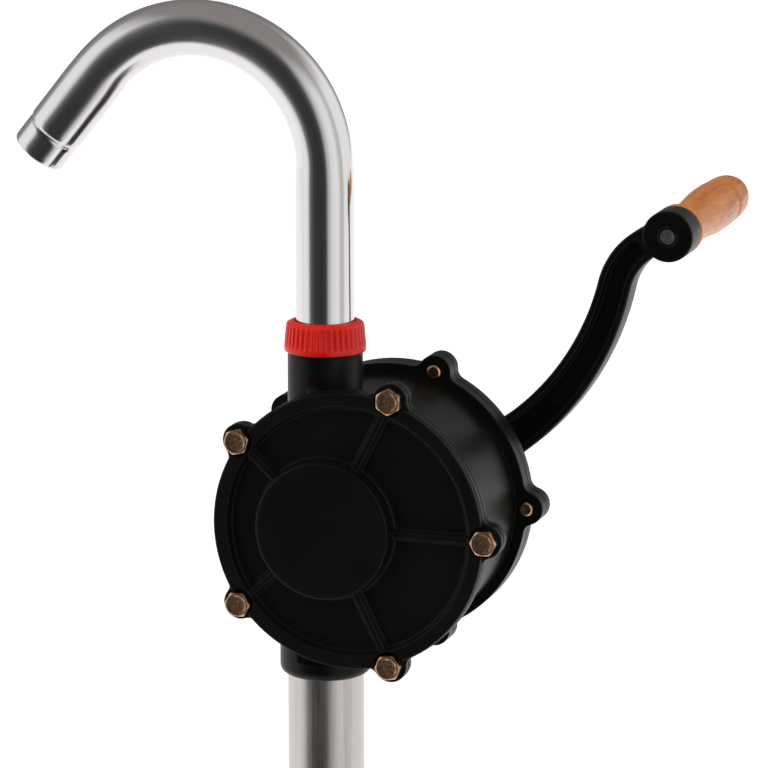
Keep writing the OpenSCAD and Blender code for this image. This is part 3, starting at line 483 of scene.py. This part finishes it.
def make_front_cover():
    """Dished cover: cover_relief over the rings of cover_rings, closed by a wall round the flange's
    outline and a flat back that runs in to the centre."""
    off = rotor_x - CHAMBER_X
    ribs_at, ribs_end = rib_directions(off)
    angles, reach = flange_outline()
    fine = [end + np.radians(np.linspace(-4.2, 4.2, 29)) for end in ribs_end]
    a = np.unique(np.round(np.mod(np.concatenate([angles] + fine), TAU), 5))
    reach = np.interp(a, angles, reach, period=TAU)
    lifted = np.where(a < ribs_end[0], a + TAU, a)
    inner = np.interp(lifted, np.append(ribs_end, ribs_end[0] + TAU), np.append(ribs_at, ribs_at[0] + TAU))
    plan, edge = cover_rings(a, reach, inner, off)
    x, z = plan[..., 0], plan[..., 1]
    rows = [np.stack([x + CHAMBER_X, cover_relief(x, z, off, ribs_at), z + pump_z], -1)]
    length = np.linalg.norm(edge, axis=-1, keepdims=True)
    wall = [(lug_front + y, edge * (1 - k / length)) for y, k in ((0.08, 0.35), (0.3, 0.12), (0.6, 0.0))]
    wall += [(joint_front + y, edge * (1 - k / length)) for y, k in ((-0.3, 0.0), (0.0, 0.2))]
    wall += [(joint_front, edge * k) for k in (0.85, 0.0)]
    for y, e in wall:
        rows.append(np.stack([e[:, 0] + CHAMBER_X, np.full(len(e), y), e[:, 1] + pump_z], -1)[None])
    return grid_piece("front_cover_casting", np.concatenate(rows, axis=0))


# ---- bolts ----

HEAD_TURNS = np.radians((0, 18, -9, 24, 19))
HEAD_FLATS, HEAD_HIGH, CORNER_CUT = 13.0, 5.3, 0.15
SHANK_R, TIP_R, SHANK_LONG = 3.9, 3.2, 13.0
FACE_RINGS = (0, 0.3, 0.55, 0.72, 0.78, 0.82, 0.86, 0.9, 0.94, 0.97, 0.99)


def head_face(r):
    """Height of a head's face at radius r: a shallow dish, a flat ring, then the cone at the corners."""
    return -HEAD_HIGH + np.interp(r, [0, 4.7, 5.2, 5.6, 6.05, 8], [0.32, 0.3, 0.1, 0.0, 0.0, 1.05])


def make_bolts():
    """Five bolts: rings of the hexagon's outline, scaled across the dished face and down the flats, and
    then circles for the shank. The outline is half the flats over the cosine of the angle, cut at corners."""
    a = np.arange(LATHE_STEPS) * TAU / LATHE_STEPS
    sector = np.mod(a, math.pi / 3) - math.pi / 6
    half = HEAD_FLATS / 2
    hexagon = np.minimum(half / np.cos(sector), half / math.cos(math.pi / 6) - CORNER_CUT)
    brim = head_face(hexagon)
    rings = [(hexagon * k, head_face(hexagon * k)) for k in FACE_RINGS]
    rings += [(hexagon * 0.997, brim + 0.05), (hexagon, brim + 0.2), (hexagon, brim * 0.5), (hexagon, -0.3),
              (hexagon * 0.985, 0.0), (SHANK_R, 0.0), (SHANK_R, SHANK_LONG - 1), (TIP_R, SHANK_LONG),
              (0.0, SHANK_LONG)]
    r = np.array([ring[0] + 0 * a for ring in rings])
    y = np.array([ring[1] + 0 * a for ring in rings])
    pieces = []
    for k, head_turn in enumerate(HEAD_TURNS):
        b = LUG_TURN * k
        cx, cz = polar(BOLT_CIRCLE, b) + (CHAMBER_X, pump_z)
        turn = a + b + head_turn
        pts = np.stack([cx + r * np.cos(turn), lug_front + SEAT_DEEP + y, cz + r * np.sin(turn)], -1)
        pieces.append(grid_piece("bolt_%d" % k, pts))
    obj = joined("front_hex_bolts", pieces)
    sharp(obj, 28)
    return obj


# ---- materials ----

def new_group(name, inputs, outputs):
    """A node group with its named sockets, and the nodes that stand for its inputs and outputs."""
    g = bpy.data.node_groups.new(name, "ShaderNodeTree")
    for label, kind, value in inputs:
        s = g.interface.new_socket(label, in_out="INPUT", socket_type=kind)
        if value is not None:
            s.default_value = value
    for label, kind in outputs:
        g.interface.new_socket(label, in_out="OUTPUT", socket_type=kind)
    return g, g.nodes.new("NodeGroupInput"), g.nodes.new("NodeGroupOutput")


class Tree:
    """Short hand for building a node tree."""

    def __init__(self, tree):
        self.t = tree

    def node(self, kind, links=None, **values):
        n = self.t.nodes.new(kind)
        for k, v in values.items():
            setattr(n, k, v)
        for k, v in (links or {}).items():
            if isinstance(v, bpy.types.NodeSocket):
                self.t.links.new(v, n.inputs[k])
            else:
                n.inputs[k].default_value = v
        return n

    def math(self, op, a, b):
        return self.node("ShaderNodeMath", {0: a, 1: b}, operation=op).outputs[0]

    def noise(self, vector, scale, detail=3.0, rough=0.5):
        return self.node("ShaderNodeTexNoise", {"Vector": vector, "Scale": scale, "Detail": detail,
                                                "Roughness": rough}).outputs[0]

    def stretch(self, vector, by):
        return self.node("ShaderNodeVectorMath", {0: vector, 1: by}, operation="MULTIPLY").outputs[0]

    def place(self):
        return self.node("ShaderNodeTexCoord").outputs["Object"]

    def ramp(self, fac, stops):
        n = self.node("ShaderNodeValToRGB", {"Fac": fac})
        els = n.color_ramp.elements
        while len(els) < len(stops):
            els.new(0.5)
        for e, (p, c) in zip(els, stops):
            e.position = p
            e.color = (*c, 1) if isinstance(c, (tuple, list)) else (c, c, c, 1)
        return n.outputs[0]

    def remap(self, v, a, b, c, d):
        return self.node("ShaderNodeMapRange", {0: v, 1: a, 2: b, 3: c, 4: d}).outputs[0]

    def mix(self, fac, a, b):
        n = self.node("ShaderNodeMix", data_type="RGBA")
        for i, v in ((0, fac), (6, a), (7, b)):
            if isinstance(v, bpy.types.NodeSocket):
                self.t.links.new(v, n.inputs[i])
            else:
                n.inputs[i].default_value = v if i == 0 else (*v, 1)
        return n.outputs[2]


def cast_skin_group():
    """Painted casting: fine orange peel over slow waves, and a slow mask for dust and handling."""
    g, gi, go = new_group("cast_skin",
                          [("Vector", "NodeSocketVector", None), ("Peel", "NodeSocketFloat", 1.0)],
                          [("Height", "NodeSocketFloat"), ("Mask", "NodeSocketFloat")])
    t = Tree(g)
    v = gi.outputs["Vector"]
    peel = t.noise(v, 900.0, 2.0)
    wave = t.noise(v, 160.0, 3.0)
    lumps = t.noise(v, 38.0, 2.0)
    h = t.math("ADD", t.math("MULTIPLY", peel, 0.35), t.math("MULTIPLY", wave, 0.65))
    h = t.math("ADD", h, lumps)
    g.links.new(t.math("MULTIPLY", h, gi.outputs["Peel"]), go.inputs["Height"])
    mask = t.remap(t.noise(v, 14.0, 5.0, 0.62), 0.35, 0.72, 0.0, 1.0)
    g.links.new(mask, go.inputs["Mask"])
    return g


def drawn_grain_group():
    """Drawn metal: noise stretched into long thin streaks along the third coordinate, and slow clouds."""
    g, gi, go = new_group("drawn_grain",
                          [("Vector", "NodeSocketVector", None), ("Fineness", "NodeSocketFloat", 60.0)],
                          [("Streak", "NodeSocketFloat"), ("Cloud", "NodeSocketFloat")])
    t = Tree(g)
    v = gi.outputs["Vector"]
    streak = t.noise(t.stretch(v, (1.0, 1.0, 0.02)), gi.outputs["Fineness"], 5.0, 0.7)
    g.links.new(streak, go.inputs["Streak"])
    g.links.new(t.noise(v, 22.0, 4.0, 0.6), go.inputs["Cloud"])
    return g


def wood_grain_group():
    """Turned wood: stretched growth bands, fine pores along the grain and a slow colour drift."""
    g, gi, go = new_group("wood_grain", [("Vector", "NodeSocketVector", None)],
                          [("Bands", "NodeSocketFloat"), ("Pores", "NodeSocketFloat"),
                           ("Drift", "NodeSocketFloat")])
    t = Tree(g)
    v = gi.outputs["Vector"]
    warp = t.noise(v, 30.0, 2.0)
    shift = t.node("ShaderNodeCombineXYZ", {0: t.math("MULTIPLY", warp, 0.006),
                                            2: t.math("MULTIPLY", warp, 0.004)}).outputs[0]
    along = t.stretch(v, (1.0, 0.10, 1.0))
    bent = t.node("ShaderNodeVectorMath", {0: along, 1: shift}, operation="ADD").outputs[0]
    g.links.new(t.noise(bent, 210.0, 3.0, 0.6), go.inputs["Bands"])
    g.links.new(t.noise(t.stretch(v, (1.0, 0.035, 1.0)), 1500.0, 2.0), go.inputs["Pores"])
    g.links.new(t.noise(v, 45.0, 2.0), go.inputs["Drift"])
    return g


CAST_SKIN = cast_skin_group()
DRAWN_GRAIN = drawn_grain_group()
WOOD_GRAIN = wood_grain_group()


def use(t, group, vector, **values):
    """Places a shared group in a material, with the material's own values."""
    n = t.node("ShaderNodeGroup")
    n.node_tree = group
    t.t.links.new(vector, n.inputs["Vector"])
    for k, v in values.items():
        n.inputs[k].default_value = v
    return n


def new_material(name, **values):
    """A material, its shader and its tree. Values are set on the shader's own sockets."""
    m = bpy.data.materials.new(name)
    m.use_nodes = True
    shader = m.node_tree.nodes["Principled BSDF"]
    for k, v in values.items():
        k = k.replace("_", " ")
        shader.inputs[k].default_value = (*v, 1) if isinstance(v, tuple) and len(v) == 3 else v
    return m, shader, Tree(m.node_tree)


def bump(t, shader, height, strength, distance, normal=None):
    """Feeds the shader's normal from a height."""
    links = {"Height": height, "Strength": strength, "Distance": distance}
    if normal is not None:
        links["Normal"] = normal
    n = t.node("ShaderNodeBump", links)
    t.t.links.new(n.outputs[0], shader.inputs["Normal"])


def soft_edge(t, radius, samples):
    """A normal that rounds sharp edges by about the radius."""
    return t.node("ShaderNodeBevel", {"Radius": radius}, samples=samples).outputs[0]


def link(t, socket, shader, name):
    """Joins a socket to one of the shader's inputs."""
    t.t.links.new(socket, shader.inputs[name])


def enamel():
    """Black enamel over a casting: the cast skin under paint, duller where the mask is high."""
    m, s, t = new_material("black_enamel", Specular_IOR_Level=0.15)
    pos = t.place()
    skin = use(t, CAST_SKIN, pos, Peel=1.0)
    bump(t, s, skin.outputs["Height"], 0.10, 0.0006, soft_edge(t, 0.0012, 6))
    link(t, t.mix(skin.outputs["Mask"], (0.0036, 0.0037, 0.0030), (0.0062, 0.0063, 0.0055)), s, "Base Color")
    link(t, t.remap(skin.outputs["Mask"], 0, 1, 0.33, 0.43), s, "Roughness")
    return m


def tube_metal(name, low, high, rough_a, rough_b, fineness, strength):
    """Brushed tube: drawn grain sets the tint and the roughness, with clouds added to the roughness."""
    m, s, t = new_material(name, Metallic=1.0)
    pos = t.place()
    grain = use(t, DRAWN_GRAIN, pos, Fineness=fineness)
    link(t, t.mix(t.remap(grain.outputs["Streak"], 0.3, 0.7, 0, 1), low, high), s, "Base Color")
    rough = t.math("ADD", t.remap(grain.outputs["Streak"], 0.25, 0.75, rough_a, rough_b),
                   t.remap(grain.outputs["Cloud"], 0.3, 0.7, -0.02, 0.02))
    link(t, rough, s, "Roughness")
    bump(t, s, grain.outputs["Streak"], strength, 0.0002)
    return m


def spout_metal():
    """Polished tube whose fine streaks follow its own length, a little duller where it was bent."""
    m, s, t = new_material("polished_tube", Metallic=1.0)
    uv = t.node("ShaderNodeUVMap").outputs[0]
    sep = t.node("ShaderNodeSeparateXYZ", {0: uv})
    line = t.node("ShaderNodeCombineXYZ", {0: sep.outputs[0], 2: sep.outputs[1]})
    grain = use(t, DRAWN_GRAIN, line.outputs[0], Fineness=110.0)
    link(t, t.mix(t.remap(grain.outputs["Streak"], 0.3, 0.7, 0, 1), (0.66, 0.645, 0.64), (0.80, 0.79, 0.785)),
         s, "Base Color")
    height = t.node("ShaderNodeSeparateXYZ", {0: t.place()}).outputs[2]
    worked = t.remap(height, 0.375, 0.425, 0.0, 0.09)
    rough = t.remap(grain.outputs["Streak"], 0.25, 0.75, 0.08, 0.15)
    link(t, t.math("ADD", rough, worked), s, "Roughness")
    bump(t, s, grain.outputs["Streak"], 0.06, 0.0002)
    return m


def plastic(name, dark, light, rough, coat=0.0, scale=260.0, strength=0.05, shine=0.5):
    """Moulded or matt stuff: slow clouds between two tints and a fine grain in roughness and relief."""
    m, s, t = new_material(name, Coat_Weight=coat, Coat_Roughness=0.08, Specular_IOR_Level=shine)
    pos = t.place()
    cloud = t.noise(pos, 60.0, 3.0)
    link(t, t.mix(t.remap(cloud, 0.3, 0.7, 0, 1), dark, light), s, "Base Color")
    link(t, t.remap(t.noise(pos, scale, 2.0), 0.3, 0.7, rough - 0.05, rough + 0.06), s, "Roughness")
    bump(t, s, t.noise(pos, scale * 2, 2.0), strength, 0.0004)
    return m


def zinc():
    """Yellow passivated zinc: gold with brown and rosy clouds."""
    m, s, t = new_material("yellow_zinc", Metallic=1.0)
    pos = t.place()
    cloud = t.noise(pos, 420.0, 4.0, 0.6)
    tint = t.ramp(cloud, [(0.3, (0.40, 0.20, 0.11)), (0.5, (0.60, 0.35, 0.20)), (0.7, (0.80, 0.55, 0.35))])
    link(t, tint, s, "Base Color")
    link(t, t.remap(t.noise(pos, 900.0, 3.0), 0.3, 0.7, 0.22, 0.38), s, "Roughness")
    bump(t, s, t.noise(pos, 1300.0, 2.0), 0.12, 0.0002, soft_edge(t, 0.0003, 4))
    return m


def wood():
    """Varnished beech: growth bands coloured by a ramp, dark pores over them and a slow warm drift."""
    m, s, t = new_material("varnished_beech", Coat_Weight=0.3, Coat_Roughness=0.16, Specular_IOR_Level=0.3)
    pos = t.place()
    grain = use(t, WOOD_GRAIN, pos)
    base = t.ramp(grain.outputs["Bands"], [(0.25, (0.36, 0.082, 0.005)), (0.45, (0.60, 0.165, 0.01)),
                                           (0.6, (0.68, 0.21, 0.02)), (0.78, (0.78, 0.28, 0.035))])
    dark = t.remap(grain.outputs["Pores"], 0.34, 0.46, 0.55, 0.0)
    base = t.mix(dark, base, (0.22, 0.06, 0.012))
    base = t.mix(t.remap(grain.outputs["Drift"], 0.35, 0.7, 0.0, 0.35), base, (0.74, 0.25, 0.026))
    link(t, base, s, "Base Color")
    link(t, t.remap(grain.outputs["Pores"], 0.3, 0.6, 0.42, 0.3), s, "Roughness")
    bump(t, s, grain.outputs["Pores"], 0.12, 0.0003)
    return m


def machined(name, low, high, rough):
    """Turned metal: clouds between two tints, and a fine grain in roughness and relief."""
    m, s, t = new_material(name, Metallic=1.0)
    pos = t.place()
    cloud = t.noise(pos, 300.0, 5.0, 0.7)
    link(t, t.mix(t.remap(cloud, 0.3, 0.7, 0, 1), low, high), s, "Base Color")
    link(t, t.remap(t.noise(pos, 800.0, 3.0), 0.3, 0.7, rough - 0.07, rough + 0.1), s, "Roughness")
    bump(t, s, t.noise(pos, 1100.0, 2.0), 0.1, 0.0002, soft_edge(t, 0.0003, 4))
    return m


MATERIALS = {
    "black_paint": enamel(),
    "steel_tube": tube_metal("drawn_steel", (0.47, 0.435, 0.42), (0.63, 0.6, 0.585), 0.24, 0.38, 900.0, 0.12),
    "polished_steel": spout_metal(),
    "zinc_gold": zinc(),
    "red_plastic": plastic("red_nylon", (0.74, 0.008, 0.003), (0.84, 0.014, 0.005), 0.3, 0.1, shine=0.3),
    "black_plastic": plastic("black_nylon", (0.018, 0.018, 0.018), (0.03, 0.03, 0.03), 0.45),
    "white_plastic": plastic("white_acetal", (0.72, 0.71, 0.68), (0.8, 0.79, 0.76), 0.4),
    "black_rubber": plastic("black_rubber", (0.012, 0.012, 0.012), (0.022, 0.022, 0.021), 0.6, 0.0, 500.0,
                            0.2),
    "gasket_paper": plastic("gasket_paper", (0.30, 0.24, 0.15), (0.42, 0.35, 0.23), 0.8, 0.0, 900.0, 0.3),
    "varnished_wood": wood(),
    "cast_iron": machined("turned_iron", (0.20, 0.20, 0.20), (0.32, 0.32, 0.31), 0.45),
    "bright_steel": machined("bright_steel", (0.52, 0.51, 0.50), (0.66, 0.65, 0.64), 0.28),
    "bronze": machined("bronze", (0.48, 0.30, 0.13), (0.62, 0.42, 0.20), 0.32),
    "vane_plastic": plastic("phenolic", (0.16, 0.08, 0.035), (0.24, 0.13, 0.06), 0.45),
}


def finish_piece(obj, body, slot, *nodes):
    """Gives a piece the material named by its slot and the body it rides with, and hides the nodes it
    replaces.
    """
    obj.data.materials.clear()
    obj.data.materials.append(MATERIALS[slot])
    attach(obj, body)
    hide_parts(*nodes)


finish_piece(make_spout(), "spout", "polished_steel", "spout_tube")
finish_piece(make_collar(), "collar", "red_plastic", "collar_nut")
finish_piece(make_grip(), "grip", "varnished_wood", "handle_grip")
finish_piece(make_crank(), "crank", "black_paint", "crank_arm")
finish_piece(make_front_cover(), "pump", "black_paint", "front_cover")
finish_piece(make_bolts(), "pump", "zinc_gold", "front_bolts")

SLOTS = {p["node"]: p["material_slot"] for p in frame["record"]["subparts"]}
for node, obj in frame["nodes"].items():
    material = MATERIALS[SLOTS[node]]
    for place in obj.material_slots:
        place.material = material
    if not obj.material_slots:
        obj.data.materials.append(material)


# ---- stage, light and camera ----

FLOOR_AT, FLOOR_RADII, FLOOR_DROP = (-1470.0, 4410.0), (0, 400, 1500, 3000, 5000), 1.0
FLOOR_STEPS = 128
WHITE = (1.0, 1.0, 1.0)
CEILING = (0.30, 0.28, 0.275)
CEILING_FROM, CEILING_TO = 0.5, 0.8
# Degrees round the room against the brightness of its wall.
WALL_LIGHT = [(-180, 0.22), (-125, 0.22), (-105, 0.35), (-92, 1.0), (-52, 1.0), (-40, 0.16), (-24, 0.05),
              (8, 0.035), (24, 0.06), (36, 0.62), (52, 0.9), (72, 1.0), (84, 0.62), (94, 0.62), (104, 1.0),
              (150, 1.0), (172, 0.3), (180, 0.22)]
SEEN_WHITE = 1.05
SUN_FROM, SUN_STRENGTH, SUN_SPREAD = (-0.35, -0.45, 1.0), 1.7, 70
VIEW_TURN, VIEW_RISE, VIEW_DISTANCE = math.radians(18.45), math.radians(12.36), 2.309
VIEW_TARGET = np.array([44.9, -33.7, 274.0]) * MM
LENS, SENSOR = 202.8, 36.0


def make_floor():
    """Round pale floor, mostly behind the pump, so that polished fronts mirror the dark side of the room."""
    c, s = circle(FLOOR_STEPS)
    radii = np.array(FLOOR_RADII, float)[:, None]
    pts = np.empty((len(radii), FLOOR_STEPS, 3))
    pts[..., 0] = radii * c + FLOOR_AT[0]
    pts[..., 1] = radii * s + FLOOR_AT[1]
    pts[..., 2] = np.array(cad_box)[0][2] / MM - FLOOR_DROP
    obj = grid_piece("floor", pts)
    m, sh, t = new_material("pale_floor", Roughness=0.9, Specular_IOR_Level=0.1, Emission_Strength=0.3,
                            Emission_Color=WHITE)
    grain = t.noise(t.place(), 3.0)
    link(t, t.mix(grain, (0.95, 0.95, 0.95), (0.97, 0.97, 0.97)), sh, "Base Color")
    obj.data.materials.append(m)
    if obj.data.polygons[0].normal.z < 0:
        obj.data.flip_normals()


def make_world():
    """A studio of broad light walls with a dark front, seen only in reflections; white to the camera."""
    world = bpy.data.worlds.new("studio")
    bpy.context.scene.world = world
    world.use_nodes = True
    tree = world.node_tree
    tree.nodes.clear()
    t = Tree(tree)
    d = t.node("ShaderNodeSeparateXYZ", {0: t.node("ShaderNodeTexCoord").outputs["Generated"]})
    az = t.math("ARCTAN2", d.outputs[0], t.math("MULTIPLY", d.outputs[1], -1.0))
    turn = t.math("ADD", t.math("DIVIDE", az, TAU), 0.5)
    wall = t.ramp(turn, [((degrees + 180) / 360, level) for degrees, level in WALL_LIGHT])
    ceiling = t.remap(d.outputs[2], CEILING_FROM, CEILING_TO, 0.0, 1.0)
    lit = t.mix(ceiling, wall, CEILING)
    seen = t.node("ShaderNodeBackground", {"Color": (*WHITE, 1), "Strength": SEEN_WHITE})
    light = t.node("ShaderNodeBackground", {"Color": lit, "Strength": 1.0})
    path = t.node("ShaderNodeLightPath")
    mix = t.node("ShaderNodeMixShader", {0: path.outputs["Is Camera Ray"], 1: light.outputs[0],
                                         2: seen.outputs[0]})
    t.node("ShaderNodeOutputWorld", {0: mix.outputs[0]})


def make_sun():
    """Broad soft light from above, which lights the floor evenly and leaves reflections alone."""
    data = bpy.data.lights.new("sky_soft", "SUN")
    data.energy, data.angle = SUN_STRENGTH, math.radians(SUN_SPREAD)
    obj = bpy.data.objects.new("sky_soft", data)
    bpy.context.scene.collection.objects.link(obj)
    obj.rotation_euler = Vector(SUN_FROM).to_track_quat("Z", "Y").to_euler()
    obj.visible_glossy = False


def make_camera():
    """Camera on a sphere round the target, looking at its centre."""
    data = bpy.data.cameras.new("camera")
    data.lens, data.sensor_width = LENS, SENSOR
    data.clip_end = 50
    obj = bpy.data.objects.new("camera", data)
    bpy.context.scene.collection.objects.link(obj)
    away = np.array([math.sin(VIEW_TURN) * math.cos(VIEW_RISE), -math.cos(VIEW_TURN) * math.cos(VIEW_RISE),
                     math.sin(VIEW_RISE)])
    obj.location = VIEW_TARGET + VIEW_DISTANCE * away
    obj.rotation_euler = (math.pi / 2 - VIEW_RISE, 0, VIEW_TURN)
    bpy.context.scene.camera = obj


make_floor()
make_world()
make_sun()
make_camera()
bpy.context.scene.view_settings.view_transform = "Standard"
